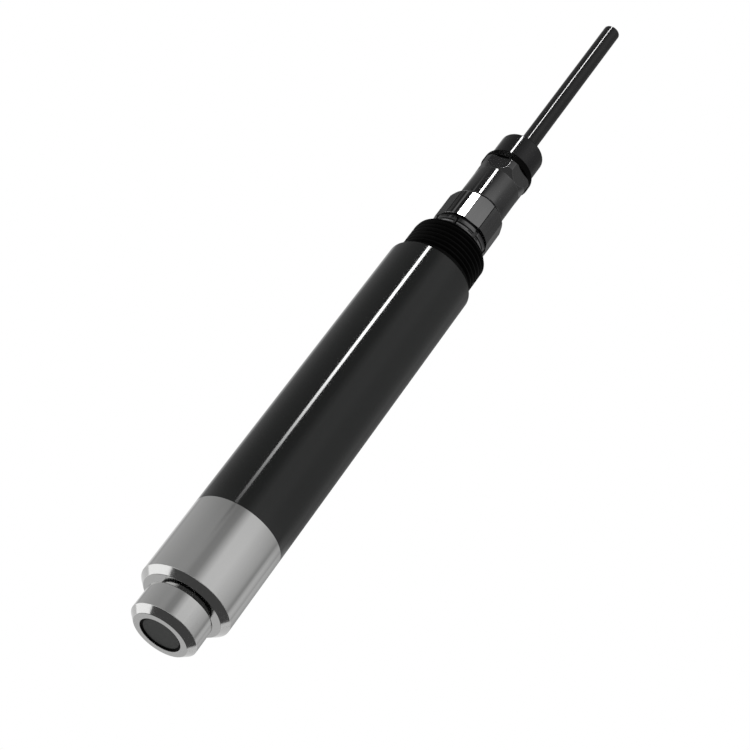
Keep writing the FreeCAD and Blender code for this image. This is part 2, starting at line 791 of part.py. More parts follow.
def gland():
    """What grips and seals the cable: grommet, collet, washer, joint ring and clamp nut."""
    keep("cable_grommet", tube_piece(
        "grommet", "cable_radius + fit_gap / 2", "gland_radius - fit_gap",
        "gland_front", "grommet_rear"))
    keep("cable_collet", tube_piece(
        "collet", "cable_radius + fit_gap / 2", "gland_radius - fit_gap",
        "grommet_rear", "boss_rear"))
    ring = tube_piece(
        "joint", "boss_radius + fit_gap / 2", "joint_ring_radius", "sleeve_rear", "ring_rear")
    rounded(ring, [("joint_ring_radius", "ring_rear")], "joint_ring_round")
    keep("joint_ring", ring)
    keep("thrust_washer", tube_piece(
        "washer", "cable_hole", "boss_radius - slide_gap", "washer_front", "washer_rear"))
    cover = turned("clamp", [
        ("boss_radius + thread_gap", "clamp_front"),
        ("clamp_radius", "clamp_front"),
        ("clamp_radius", "clamp_rear"),
        ("cable_hole", "clamp_rear"),
        ("cable_hole", "clamp_floor"),
        ("boss_radius + thread_gap", "clamp_floor"),
    ])
    rounded(cover, [("clamp_radius", "clamp_rear")], "clamp_round")
    keep("clamp_nut", cover)


def cable():
    """The cable: the stretch held in the plug, and the free stretch behind it."""
    keep("cable_in_plug", rod("held_cable", "cable_radius", "jacket_front", "clamp_rear"))
    end = "clamp_rear + cable_length"
    free = turned("free_cable", [
        ("0", "clamp_rear"), ("cable_radius", "clamp_rear"), ("cable_radius", end), ("0", end)])
    rounded(free, [("cable_radius", end)], "cable_end_round")
    keep("cable", free)


sensing_cap()
sensor_head()
o_rings()
window()
optics()
thermistor()
tube()
boards()
rear_plug()
receptacle()
coupling_nut()
cable_plug()
gland()
cable()
doc.recompute()

for piece in doc.Objects:
    if "Invalid" in piece.State or "Error" in piece.State:
        raise RuntimeError("failed: " + piece.Name)
for piece in finished:
    if piece.Shape.isNull() or not piece.Shape.isValid() or not piece.Shape.Solids:
        raise RuntimeError("bad shape: " + piece.Label)

os.makedirs("parts", exist_ok=True)
for piece in finished:
    piece.Shape.exportStep("parts/%s.step" % piece.Label)
print("pieces:", len(finished))
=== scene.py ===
# Looks of an optical dissolved oxygen sensor: a stainless sensing head, a black tube with a
# threaded rear plug, a screw-on connector and its cable. Metres. +Z runs from the nose to the
# cable.
import json
import math

import bmesh
import bpy
from bpy.props import FloatProperty, FloatVectorProperty, IntProperty, PointerProperty
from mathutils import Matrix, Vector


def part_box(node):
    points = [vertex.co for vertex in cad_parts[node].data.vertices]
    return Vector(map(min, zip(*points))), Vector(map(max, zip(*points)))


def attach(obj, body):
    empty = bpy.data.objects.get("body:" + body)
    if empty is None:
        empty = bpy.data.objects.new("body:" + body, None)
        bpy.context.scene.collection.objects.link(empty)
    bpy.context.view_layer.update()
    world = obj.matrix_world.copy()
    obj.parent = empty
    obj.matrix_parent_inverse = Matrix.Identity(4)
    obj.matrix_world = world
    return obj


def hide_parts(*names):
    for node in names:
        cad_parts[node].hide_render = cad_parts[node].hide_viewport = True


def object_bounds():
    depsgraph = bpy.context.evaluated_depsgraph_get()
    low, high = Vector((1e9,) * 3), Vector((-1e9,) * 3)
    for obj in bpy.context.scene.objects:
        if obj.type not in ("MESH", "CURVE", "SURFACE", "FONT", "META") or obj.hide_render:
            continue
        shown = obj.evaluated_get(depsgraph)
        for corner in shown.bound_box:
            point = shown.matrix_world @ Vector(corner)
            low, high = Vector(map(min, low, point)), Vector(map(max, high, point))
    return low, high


bl_info = {
    "name": "Dissolved Oxygen Sensor",
    "version": (1, 0, 0),
    "blender": (4, 5, 0),
    "location": "3D View > Sidebar > Sensor",
    "description": "Models the visible pieces of a dissolved oxygen probe and lights them",
    "category": "Object",
}

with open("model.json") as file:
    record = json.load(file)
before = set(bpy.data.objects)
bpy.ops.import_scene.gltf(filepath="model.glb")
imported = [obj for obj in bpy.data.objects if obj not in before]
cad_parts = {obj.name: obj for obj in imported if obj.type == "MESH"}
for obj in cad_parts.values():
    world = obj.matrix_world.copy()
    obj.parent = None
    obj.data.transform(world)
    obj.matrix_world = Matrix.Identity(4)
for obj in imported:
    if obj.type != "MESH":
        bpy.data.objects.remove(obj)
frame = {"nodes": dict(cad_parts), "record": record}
cad_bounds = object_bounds()
nodes = frame["nodes"]
slots = {row["node"]: row["material_slot"] for row in frame["record"]["subparts"]}
finish_of = {}
MM = 0.001
MERGE = 0.001 * MM                 # corners that lie closer than this are one
TURN_STEPS = 144
JACKET_STEPS = 14
THREAD_STEPS = 72
FLANK_ANGLE = math.radians(30)     # of the thread
SMOOTH_ANGLE = 35                  # degrees, above which an edge is shaded sharp


def front(node):
    """The station of a node's end that faces the nose."""
    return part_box(node)[0].z


def rear(node):
    """The station of a node's end that faces the cable."""
    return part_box(node)[1].z


def radius(node):
    """Half of a node's width across X."""
    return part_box(node)[1].x


class SensorStage(bpy.types.PropertyGroup):
    """Where the camera and the floor stand"""

    camera_place: FloatVectorProperty(
        name="Camera Place", description="Camera's position", subtype="TRANSLATION",
        default=(0.0, -0.5296, -0.24487))
    camera_turn: FloatVectorProperty(
        name="Camera Turn", description="Camera's rotation", subtype="EULER",
        default=(math.radians(130.1394), math.radians(-29.5399), math.radians(-23.1139)))
    camera_lens: FloatProperty(
        name="Focal Length", description="Focal length in millimetres", default=98.876,
        unit="CAMERA")
    floor_height: FloatProperty(
        name="Floor Height", description="Height of the floor, clear below the camera",
        default=-0.35, unit="LENGTH")


class SensorHead(bpy.types.PropertyGroup):
    """Sizes of the sensing cap and the steel head"""

    cap_chamfer: FloatProperty(
        name="Cap Chamfer", description="Slope round the nose", default=2 * MM, unit="LENGTH")
    recess_radius: FloatProperty(
        name="Recess Radius", description="Radius of the opening over the sensing disc",
        default=6.8 * MM, unit="LENGTH")
    shoulder_chamfer: FloatProperty(
        name="Shoulder Chamfer", description="Slope of the head's shoulder", default=2 * MM,
        unit="LENGTH")
    neck_gap: FloatProperty(
        name="Neck Gap", description="Neck left in view behind the cap", default=0.9 * MM,
        unit="LENGTH")
    edge: FloatProperty(
        name="Edge", description="How far a turned steel edge is broken", default=0.1 * MM,
        unit="LENGTH")


class SensorThread(bpy.types.PropertyGroup):
    """Sizes of the thread on the rear plug"""

    pitch: FloatProperty(
        name="Pitch", description="Rise of the thread in one turn", default=1.814 * MM,
        unit="LENGTH")
    depth: FloatProperty(
        name="Depth", description="From crest to root", default=0.95 * MM, unit="LENGTH")
    root_flat: FloatProperty(
        name="Root Flat", description="Width of the groove's floor", default=0.3 * MM,
        unit="LENGTH")


class SensorConnector(bpy.types.PropertyGroup):
    """Sizes of the lock ring, the coupling nut and the cable plug"""

    lock_slots: IntProperty(
        name="Lock Ring Slots", description="Slots for the spanner", default=8, min=3)
    slot_width: FloatProperty(
        name="Slot Width", description="Width of a slot", default=1.2 * MM, unit="LENGTH")
    slot_depth: FloatProperty(
        name="Slot Depth", description="Depth of a slot", default=0.9 * MM, unit="LENGTH")
    lock_inset: FloatProperty(
        name="Lock Ring Inset", description="From the thread's crest in to the lock ring",
        default=3 * MM, unit="LENGTH")
    nut_flats: IntProperty(
        name="Nut Flats", description="Wide flats round the coupling nut", default=5, min=3)
    nut_radius: FloatProperty(
        name="Nut Radius", description="From the axis to a corner of the nut",
        default=10.35 * MM, unit="LENGTH")
    nut_collar: FloatProperty(
        name="Nut Collar", description="Length of the collar before the nut's flats",
        default=0.7 * MM, unit="LENGTH")
    collar_inset: FloatProperty(
        name="Collar Inset", description="From a corner of the nut in to its collar",
        default=0.85 * MM, unit="LENGTH")
    nut_edge: FloatProperty(
        name="Nut Edge", description="Rounding of the coupling nut's edges",
        default=0.12 * MM, unit="LENGTH")
    wrench_flat: FloatProperty(
        name="Wrench Flat", description="From the axis to a flat of the plug's hexagon",
        default=8.5 * MM, unit="LENGTH")
    ring_round: FloatProperty(
        name="Joint Ring Round", description="Rounding of the rubber ring's rear edge",
        default=0.7 * MM, unit="LENGTH")
    clamp_round: FloatProperty(
        name="Clamp Round", description="Rounding of the clamp nut's rear edge",
        default=0.9 * MM, unit="LENGTH")


class SensorColours(bpy.types.PropertyGroup):
    """Colours of the outer finishes"""

    steel: FloatVectorProperty(
        name="Steel", description="Brushed stainless steel", subtype="COLOR",
        default=(0.485, 0.485, 0.48))
    tube: FloatVectorProperty(
        name="Tube", description="Glossy black tube", subtype="COLOR",
        default=(0.0072, 0.0076, 0.0074))
    thread: FloatVectorProperty(
        name="Thread", description="Dull black threaded plug", subtype="COLOR",
        default=(0.002, 0.002, 0.002))
    connector: FloatVectorProperty(
        name="Connector", description="Black-plated connector parts", subtype="COLOR",
        default=(0.004, 0.004, 0.0042))
    cable: FloatVectorProperty(
        name="Cable", description="Black cable jacket", subtype="COLOR",
        default=(0.009, 0.009, 0.0092))
    disc: FloatVectorProperty(
        name="Disc", description="Black face of the sensing disc", subtype="COLOR",
        default=(0.021, 0.022, 0.021))


# The studio's wall glows in tiers and shows only in reflections, so its greys are painted reflections
# on the probe.
# Each row gives the height where a tier starts, and its grey by the direction from the probe, in
# degrees from -Y towards +X.
WALL_TIERS = (
    (-0.35, ((-180, 0.85), (-112, 0.85), (-90, 0.25), (90, 0.25), (112, 0.85), (180, 0.85))),
    (0.68, (
        (-180, 0.80), (-154, 0.80), (-146, 0.44), (-132, 0.59), (-100, 0.56), (-66, 0.49),
        (-42, 0.50), (-31, 0.38), (-18, 0.39), (4, 0.98), (32, 1.0), (62, 0.78), (84, 0.62),
        (97, 0.38), (103, 0.64), (110, 0.78), (120, 0.68), (126, 0.51), (132, 0.67), (144, 0.58),
        (156, 0.42), (180, 0.40),
    )),
    (0.92, (
        (-180, 0.70), (-150, 0.65), (-143, 0.36), (-110, 0.40), (-60, 0.28), (-30, 0.20),
        (-16, 0.27), (4, 0.82), (32, 0.79), (50, 0.61), (90, 0.42), (120, 0.43), (130, 0.31),
        (150, 0.22), (180, 0.22),
    )),
    (1.44, (
        (-180, 0.14), (-96, 0.14), (-88, 0.02), (-81, 0.02), (-78, 0.60), (-74, 0.60), (-71, 0.02),
        (-30, 0.05), (-12, 1.0), (26, 1.0), (44, 0.20), (90, 0.14), (150, 0.22), (180, 0.22),
    )),
    (1.525, (
        (-180, 0.60), (-150, 0.60), (-138, 0.30), (-96, 0.24), (-60, 0.14), (-22, 0.20),
        (12, 0.58), (32, 0.60), (60, 0.32), (96, 0.20), (120, 0.22), (150, 0.15), (180, 0.25),
    )),
)
TIER_BLEND = 0.01
WALL_RADIUS = 1.6
WALL_TOP = 3.2
WALL_SIDES = 96
CEILING_GREY = 0.02
FLOOR_SIZE = 8
FLOOR_GREY = 0.86
SKY_LIGHT = 0.6                    # strength of the world's light on the probe
SENSOR_WIDTH = 36                  # of the camera, in millimetres

STRIP_DIRECTION = -43              # degrees, as the wall's
STRIP_DISTANCE = 1.5
STRIP_WIDTH = 0.17
STRIP_BOTTOM = 0.864
STRIP_TOP = 2.1
STRIP_FADE = 0.33
STRIP_DIM = 4                      # strength at the bottom, where the lamp fades out
STRIP_STRENGTH = 50

# Glowing cards that lie under the nose and show only in reflections, painted reflections on the
# nose's faces: name, grey, then the corners with the lowest and highest x and y
CARDS = (
    ("dark_card", 0.09, (-0.35, -0.4), (0.75, 0.5)),
    ("white_card", 1.6, (-1.3, -0.4), (-0.36, 1.2)),
    ("grey_card", 0.72, (-0.35, 0.51), (0.75, 1.4)),
    ("front_card", 0.16, (0.15, -0.95), (0.95, -0.41)),
)
CARD_HEIGHT = -0.34

# Square soft lamps: name, direction in degrees, distance, height, side and power
LAMPS = (
    ("key_lamp", 35, 1.2, 0.9, 0.8, 14),
    ("fill_lamp", -70, 1.4, 0.6, 1.0, 8),
    ("back_lamp", 165, 1.4, 0.8, 0.9, 10),
)


def clear_selection():
    if bpy.context.object and bpy.context.object.mode != "OBJECT":
        bpy.ops.object.mode_set(mode="OBJECT")
    bpy.ops.object.select_all(action="DESELECT")


def pick(piece):
    """Selects this piece alone and makes it active."""
    clear_selection()
    piece.select_set(True)
    bpy.context.view_layer.objects.active = piece


def only_glossy(piece):
    """Lets a studio surface show in reflections alone."""
    piece.visible_camera = False
    piece.visible_diffuse = False
    piece.visible_transmission = False
    piece.visible_volume_scatter = False
    piece.visible_shadow = False


def studio_piece(piece, name, material):
    """Names a surface of the studio and paints it."""
    piece.name = name
    piece.data.materials.append(material)


def new_material(name):
    material = bpy.data.materials.new(name)
    material.use_nodes = True
    tree = material.node_tree
    tree.nodes.clear()
    output = tree.nodes.new("ShaderNodeOutputMaterial")
    return material, tree, output


def emitting(name, grey, strength):
    """A plain glowing surface, and its node tree for a pattern."""
    material, tree, output = new_material(name)
    glow = tree.nodes.new("ShaderNodeEmission")
    glow.inputs["Color"].default_value = (grey, grey, grey, 1)
    glow.inputs["Strength"].default_value = strength
    tree.links.new(glow.outputs[0], output.inputs["Surface"])
    return material, tree, glow


def ramp(tree, source, stops):
    """A colour ramp over the directions round the probe."""
    greys = tree.nodes.new("ShaderNodeValToRGB")
    while len(greys.color_ramp.elements) < len(stops):
        greys.color_ramp.elements.new(0.5)
    for stop, (degrees, grey) in zip(greys.color_ramp.elements, stops):
        stop.position = (degrees + 180) / 360
        stop.color = (grey, grey, grey, 1)
    tree.links.new(source, greys.inputs["Fac"])
    return greys.outputs["Color"]


def wall_material():
    """Glowing greys in tiers that change round the probe, painting the reflections on it."""
    # The wall's glowing greys are painted reflections.
    material, tree, glow = emitting("painted_reflection_wall", 1, 1)
    place = tree.nodes.new("ShaderNodeTexCoord")
    split = tree.nodes.new("ShaderNodeSeparateXYZ")
    back = tree.nodes.new("ShaderNodeMath")
    back.operation = "MULTIPLY"
    back.inputs[1].default_value = -1
    angle = tree.nodes.new("ShaderNodeMath")
    angle.operation = "ARCTAN2"
    share = tree.nodes.new("ShaderNodeMapRange")
    share.inputs["From Min"].default_value = -math.pi
    share.inputs["From Max"].default_value = math.pi
    tree.links.new(place.outputs["Object"], split.inputs[0])
    tree.links.new(split.outputs["Y"], back.inputs[0])
    tree.links.new(split.outputs["X"], angle.inputs[0])
    tree.links.new(back.outputs[0], angle.inputs[1])
    tree.links.new(angle.outputs[0], share.inputs["Value"])
    colour = ramp(tree, share.outputs["Result"], WALL_TIERS[0][1])
    for height, stops in WALL_TIERS[1:]:
        above = tree.nodes.new("ShaderNodeMapRange")
        above.inputs["From Min"].default_value = height - TIER_BLEND
        above.inputs["From Max"].default_value = height + TIER_BLEND
        mix = tree.nodes.new("ShaderNodeMix")
        mix.data_type = "RGBA"
        tree.links.new(split.outputs["Z"], above.inputs["Value"])
        tree.links.new(above.outputs["Result"], mix.inputs["Factor"])
        tree.links.new(colour, mix.inputs["A"])
        tree.links.new(ramp(tree, share.outputs["Result"], stops), mix.inputs["B"])
        colour = mix.outputs["Result"]
    tree.links.new(colour, glow.inputs["Color"])
    return material


def floor_material():
    material, tree, output = new_material("pale_floor")
    shader = tree.nodes.new("ShaderNodeBsdfPrincipled")
    shader.inputs["Base Color"].default_value = (FLOOR_GREY, FLOOR_GREY, FLOOR_GREY, 1)
    shader.inputs["Roughness"].default_value = 0.7
    tree.links.new(shader.outputs[0], output.inputs["Surface"])
    return material


def white_world():
    """White where the camera, metal or glass sees it, and a soft grey light on the probe."""
    world = bpy.data.worlds.new("studio")
    bpy.context.scene.world = world
    world.use_nodes = True
    tree = world.node_tree
    tree.nodes.clear()
    output = tree.nodes.new("ShaderNodeOutputWorld")
    path = tree.nodes.new("ShaderNodeLightPath")
    shown = path.outputs["Is Camera Ray"]
    for ray in ("Is Glossy Ray", "Is Transmission Ray"):
        either = tree.nodes.new("ShaderNodeMath")
        either.operation = "MAXIMUM"
        tree.links.new(shown, either.inputs[0])
        tree.links.new(path.outputs[ray], either.inputs[1])
        shown = either.outputs[0]
    mix = tree.nodes.new("ShaderNodeMixShader")
    tree.links.new(shown, mix.inputs["Fac"])
    for side, strength in ((1, SKY_LIGHT), (2, 1)):
        sky = tree.nodes.new("ShaderNodeBackground")
        sky.inputs["Color"].default_value = (1, 1, 1, 1)
        sky.inputs["Strength"].default_value = strength
        tree.links.new(sky.outputs[0], mix.inputs[side])
    tree.links.new(mix.outputs[0], output.inputs["Surface"])


def toward(degrees, distance):
    """The x and y of a place that lies in this direction from the probe."""
    turn = math.radians(degrees)
    return distance * math.sin(turn), -distance * math.cos(turn)


def strip_light():
    """A tall narrow lamp that draws one thin line down everything black."""
    x, y = toward(STRIP_DIRECTION, STRIP_DISTANCE)
    clear_selection()
    bpy.ops.mesh.primitive_plane_add(
        size=1, location=(x, y, (STRIP_BOTTOM + STRIP_TOP) / 2),
        rotation=(math.radians(90), 0, math.radians(STRIP_DIRECTION)))
    strip = bpy.context.object
    strip.scale = (STRIP_WIDTH, STRIP_TOP - STRIP_BOTTOM, 1)
    bpy.ops.object.transform_apply(location=True, rotation=True, scale=True)
    material, tree, glow = emitting("strip_glow", 1, STRIP_STRENGTH)
    place = tree.nodes.new("ShaderNodeTexCoord")
    split = tree.nodes.new("ShaderNodeSeparateXYZ")
    rise = tree.nodes.new("ShaderNodeMapRange")
    rise.interpolation_type = "SMOOTHSTEP"
    rise.inputs["From Min"].default_value = STRIP_BOTTOM
    rise.inputs["From Max"].default_value = STRIP_BOTTOM + STRIP_FADE
    rise.inputs["To Min"].default_value = STRIP_DIM
    rise.inputs["To Max"].default_value = STRIP_STRENGTH
    tree.links.new(place.outputs["Object"], split.inputs[0])
    tree.links.new(split.outputs["Z"], rise.inputs["Value"])
    tree.links.new(rise.outputs["Result"], glow.inputs["Strength"])
    only_glossy(strip)
    studio_piece(strip, "strip_light", material)
    strip.light_linking.receiver_collection = bpy.data.collections.new("out_of_strip")


def out_of_strip(piece):
    """Keeps the strip lamp's line off a piece."""
    spared = bpy.data.collections["out_of_strip"]
    spared.objects.link(piece)
    for held in spared.collection_objects:
        held.light_linking.link_state = "EXCLUDE"


def card(name, grey, low, high):
    """A glowing sheet that shows in reflections alone and that the nose's faces reflect: a painted
    reflection.
    """
    clear_selection()
    bpy.ops.mesh.primitive_plane_add(
        size=1, location=((low[0] + high[0]) / 2, (low[1] + high[1]) / 2, CARD_HEIGHT))
    sheet = bpy.context.object
    sheet.scale = (high[0] - low[0], high[1] - low[1], 1)
    bpy.ops.object.transform_apply(location=True, rotation=True, scale=True)
    only_glossy(sheet)
    # The card's glow is a painted reflection on the nose.
    studio_piece(sheet, name, emitting(name, 1, grey)[0])


def wall_and_ceiling(foot):
    """Hangs the glowing wall of painted reflections round the probe and a near-black glowing sheet
    over it, a painted dark reflection.
    """
    clear_selection()
    depth = WALL_TOP - foot
    bpy.ops.mesh.primitive_cylinder_add(
        vertices=WALL_SIDES, radius=WALL_RADIUS, depth=depth, end_fill_type="NOTHING",
        location=(0, 0, foot + depth / 2))
    wall = bpy.context.object
    bpy.ops.object.transform_apply(location=True)
    only_glossy(wall)
    studio_piece(wall, "studio_wall", wall_material())
    clear_selection()
    bpy.ops.mesh.primitive_circle_add(
        vertices=WALL_SIDES, radius=WALL_RADIUS, fill_type="NGON", location=(0, 0, WALL_TOP))
    ceiling = bpy.context.object
    only_glossy(ceiling)
    # A near-black glow seen only in reflections: a painted dark reflection overhead.
    studio_piece(ceiling, "studio_ceiling", emitting("painted_dark_reflection", 1, CEILING_GREY)[0])


def soft_lamp(name, direction, distance, height, side, power):
    """A square soft lamp that faces the probe's middle and stays out of reflections."""
    x, y = toward(direction, distance)
    middle = (cad_bounds[0] + cad_bounds[1]) / 2
    data = bpy.data.lights.new(name, "AREA")
    data.shape = "SQUARE"
    data.size = side
    data.energy = power
    lamp = bpy.data.objects.new(name, data)
    bpy.context.scene.collection.objects.link(lamp)
    lamp.location = (x, y, height)
    lamp.rotation_euler = (middle - lamp.location).to_track_quat("-Z", "Y").to_euler()
    lamp.visible_glossy = False


class SENSOR_OT_stage(bpy.types.Operator):
    """Set up the floor, the studio, the lamps and the camera"""
    bl_idname = "sensor.stage"
    bl_label = "Stage"

    def execute(self, context):
        stage = context.scene.sensor_stage
        context.scene.view_settings.view_transform = "Standard"
        clear_selection()
        bpy.ops.mesh.primitive_plane_add(
            size=FLOOR_SIZE, location=(0, 0, stage.floor_height))
        studio_piece(context.object, "floor", floor_material())
        wall_and_ceiling(stage.floor_height)
        strip_light()
        for row in CARDS:
            card(*row)
        white_world()
        for row in LAMPS:
            soft_lamp(*row)
        data = bpy.data.cameras.new("camera")
        data.lens = stage.camera_lens
        data.sensor_width = SENSOR_WIDTH
        camera = bpy.data.objects.new("camera", data)
        context.scene.collection.objects.link(camera)
        camera.location = stage.camera_place
        camera.rotation_euler = stage.camera_turn
        context.scene.camera = camera
        return {"FINISHED"}


def shaded(name, colour, roughness, metallic=0.0, specular=0.5, ior=1.5):
    """A material with its shader, and the node tree that a finish adds its pattern to."""
    material, tree, output = new_material(name)
    shader = tree.nodes.new("ShaderNodeBsdfPrincipled")
    shader.inputs["Base Color"].default_value = (*colour, 1)
    shader.inputs["Roughness"].default_value = roughness
    shader.inputs["Metallic"].default_value = metallic
    shader.inputs["Specular IOR Level"].default_value = specular
    shader.inputs["IOR"].default_value = ior
    tree.links.new(shader.outputs[0], output.inputs["Surface"])
    return material, tree, shader


def noise(tree, scale, detail=2, stretch=(1, 1, 1)):
    """A noise on the piece's own coordinates. A stretch makes streaks."""
    place = tree.nodes.new("ShaderNodeTexCoord")
    mapping = tree.nodes.new("ShaderNodeMapping")
    mapping.inputs["Scale"].default_value = stretch
    grain = tree.nodes.new("ShaderNodeTexNoise")
    grain.inputs["Scale"].default_value = scale
    grain.inputs["Detail"].default_value = detail
    tree.links.new(place.outputs["Object"], mapping.inputs["Vector"])
    tree.links.new(mapping.outputs[0], grain.inputs["Vector"])
    return grain.outputs["Fac"]


NOISE_LOW = 0.3                    # most of a noise lies between these
NOISE_HIGH = 0.7


def spread(tree, source, low, high, socket):
    """Drives a socket between two values by a pattern."""
    scale = tree.nodes.new("ShaderNodeMapRange")
    scale.inputs["From Min"].default_value = NOISE_LOW
    scale.inputs["From Max"].default_value = NOISE_HIGH
    scale.inputs["To Min"].default_value = low
    scale.inputs["To Max"].default_value = high
    tree.links.new(source, scale.inputs["Value"])
    tree.links.new(scale.outputs["Result"], socket)


def tint(tree, source, colour, change, shader):
    """Darkens and lightens the base colour by a pattern, by this share of it."""
    mix = tree.nodes.new("ShaderNodeMix")
    mix.data_type = "RGBA"
    mix.inputs["A"].default_value = (*(part * (1 - change) for part in colour), 1)
    mix.inputs["B"].default_value = (*(part * (1 + change) for part in colour), 1)
    spread(tree, source, 0, 1, mix.inputs["Factor"])
    tree.links.new(mix.outputs["Result"], shader.inputs["Base Color"])


def bump(tree, source, depth, shader):
    """Raises the surface by a pattern, depth in metres."""
    relief = tree.nodes.new("ShaderNodeBump")
    relief.inputs["Strength"].default_value = 1
    relief.inputs["Distance"].default_value = depth
    tree.links.new(source, relief.inputs["Height"])
    tree.links.new(relief.outputs[0], shader.inputs["Normal"])


ALONG = (1, 1, 0.02)               # stretches a grain into lines along the axis
AROUND = (0.05, 0.05, 1)           # and into lines round it
POLISH = 0.0002 * MM               # depth of the marks on a polished surface
RUBBER = (0.001, 0.001, 0.001)


def head_steel(slot, colours):
    """Stainless steel, ground along the axis to a satin gloss."""
    material, tree, shader = shaded(slot, colours.steel, roughness=0.12, metallic=1.0)
    grinding = noise(tree, scale=1400, detail=4, stretch=ALONG)
    spread(tree, grinding, 0.1, 0.15, shader.inputs["Roughness"])
    tint(tree, grinding, colours.steel, 0.02, shader)
    bump(tree, grinding, POLISH, shader)
    return material


def tube_plastic(slot, colours):
    """Polished black plastic with a faint haze."""
    material, tree, shader = shaded(slot, colours.tube, roughness=0.08, specular=0.28)
    haze = noise(tree, scale=260, detail=3)
    spread(tree, haze, 0.075, 0.085, shader.inputs["Roughness"])
    tint(tree, noise(tree, scale=40, stretch=ALONG), colours.tube, 0.06, shader)
    return material


def thread_plastic(slot, colours):
    """Dull black plastic, with the marks of the thread cutter round it."""
    material, tree, shader = shaded(slot, colours.thread, roughness=0.4, specular=0.035)
    cutting = noise(tree, scale=3000, detail=3, stretch=AROUND)
    spread(tree, cutting, 0.36, 0.46, shader.inputs["Roughness"])
    tint(tree, cutting, colours.thread, 0.2, shader)
    bump(tree, cutting, 0.003 * MM, shader)
    return material


def gloss_black(slot, colour, roughness, ior):
    """Black coupling plastic with a hard gloss and fine streaks along the axis."""
    material, tree, shader = shaded(slot, colour, roughness=roughness, ior=ior)
    polish = noise(tree, scale=900, detail=3, stretch=ALONG)
    spread(tree, polish, roughness * 0.85, roughness * 1.2, shader.inputs["Roughness"])
    tint(tree, polish, colour, 0.15, shader)
    bump(tree, noise(tree, scale=700), POLISH, shader)
    return material


def cable_jacket(slot, colours):
    """Black jacket, drawn smooth with fine lines along it."""
    material, tree, shader = shaded(slot, colours.cable, roughness=0.1, specular=0.28)
    drawing = noise(tree, scale=1500, detail=3, stretch=ALONG)
    spread(tree, drawing, 0.08, 0.13, shader.inputs["Roughness"])
    tint(tree, noise(tree, scale=3500, detail=3), colours.cable, 0.35, shader)
    bump(tree, drawing, POLISH, shader)
    return material


def seal_rubber(slot, colours):
    """Soft black rubber with a fine powdery grain."""
    material, tree, shader = shaded(slot, RUBBER, roughness=0.5, specular=0.03)
    powder = noise(tree, scale=3000)
    spread(tree, powder, 0.45, 0.6, shader.inputs["Roughness"])
    tint(tree, powder, RUBBER, 0.3, shader)
    bump(tree, powder, 0.005 * MM, shader)
    return material


def luminescent_film(slot, colours):
    """The sensing film under its black optical coating, speckled by its grains."""
    material, tree, shader = shaded(slot, colours.disc, roughness=0.3, specular=0.1)
    grains = noise(tree, scale=6000)
    tint(tree, grains, colours.disc, 0.3, shader)
    spread(tree, grains, 0.25, 0.4, shader.inputs["Roughness"])
    bump(tree, grains, 0.004 * MM, shader)
    return material


def drawn_metal(slot, colour):
    """Plated or drawn metal with fine lines along it."""
    material, tree, shader = shaded(slot, colour, roughness=0.25, metallic=1.0)
    drawing = noise(tree, scale=2000, detail=3, stretch=ALONG)
    spread(tree, drawing, 0.2, 0.32, shader.inputs["Roughness"])
    tint(tree, drawing, colour, 0.06, shader)
    return material


def moulded(slot, colour):
    """Moulded plastic or epoxy with a fine grain."""
    material, tree, shader = shaded(slot, colour, roughness=0.42)
    grain = noise(tree, scale=2200, detail=3)
    spread(tree, grain, 0.36, 0.5, shader.inputs["Roughness"])
    tint(tree, noise(tree, scale=300), colour, 0.08, shader)
    bump(tree, grain, 0.008 * MM, shader)
    return material


def clear(slot, colour):
    """Glass or clear resin with a trace of polishing haze."""
    material, tree, shader = shaded(slot, colour, roughness=0.04, ior=1.6)
    shader.inputs["Transmission Weight"].default_value = 0.9
    spread(tree, noise(tree, scale=900), 0.02, 0.07, shader.inputs["Roughness"])
    return material


def lacquered_board(slot, colour):
    """Circuit board: lacquer over the weave and the copper tracks under it."""
    material, tree, shader = shaded(slot, colour, roughness=0.3)
    place = tree.nodes.new("ShaderNodeTexCoord")
    tracks = tree.nodes.new("ShaderNodeTexBrick")
    tracks.inputs["Scale"].default_value = 320
    tracks.inputs["Mortar Size"].default_value = 0.06
    tracks.inputs["Color1"].default_value = (*colour, 1)
    tracks.inputs["Color2"].default_value = (*(part * 0.85 for part in colour), 1)
    tracks.inputs["Mortar"].default_value = (*(part * 1.4 for part in colour), 1)
    tree.links.new(place.outputs["Object"], tracks.inputs["Vector"])
    tree.links.new(tracks.outputs["Color"], shader.inputs["Base Color"])
    weave = noise(tree, scale=1500)
    spread(tree, weave, 0.24, 0.36, shader.inputs["Roughness"])
    bump(tree, weave, 0.005 * MM, shader)
    return material


OUTER_FINISHES = {
    "head_steel": head_steel,
    "tube_plastic": tube_plastic,
    "thread_plastic": thread_plastic,
    "cable_jacket": cable_jacket,
    "seal_rubber": seal_rubber,
    "luminescent_film": luminescent_film,
}
INNER_FINISHES = {
    "spring_steel": drawn_metal,
    "contact_gold": drawn_metal,
    "capacitor_can": drawn_metal,
    "window_glass": clear,
    "clear_guide": clear,
    "filter_glass": clear,
    "blue_lamp": clear,
    "red_lamp": clear,
    "board_green": lacquered_board,
}


# Finish, name of its material, times the connector's colour, roughness and index of refraction
COUPLING_FINISHES = (
    ("connector_plastic", "connector_plastic", 1, 0.08, 1.95),
    ("nut", "nut_plastic", 1, 0.08, 2.3),
    ("clamp", "clamp_plastic", 2, 0.08, 1.38),
    ("collar", "collar_plastic", 1, 0.3, 1.2),
)


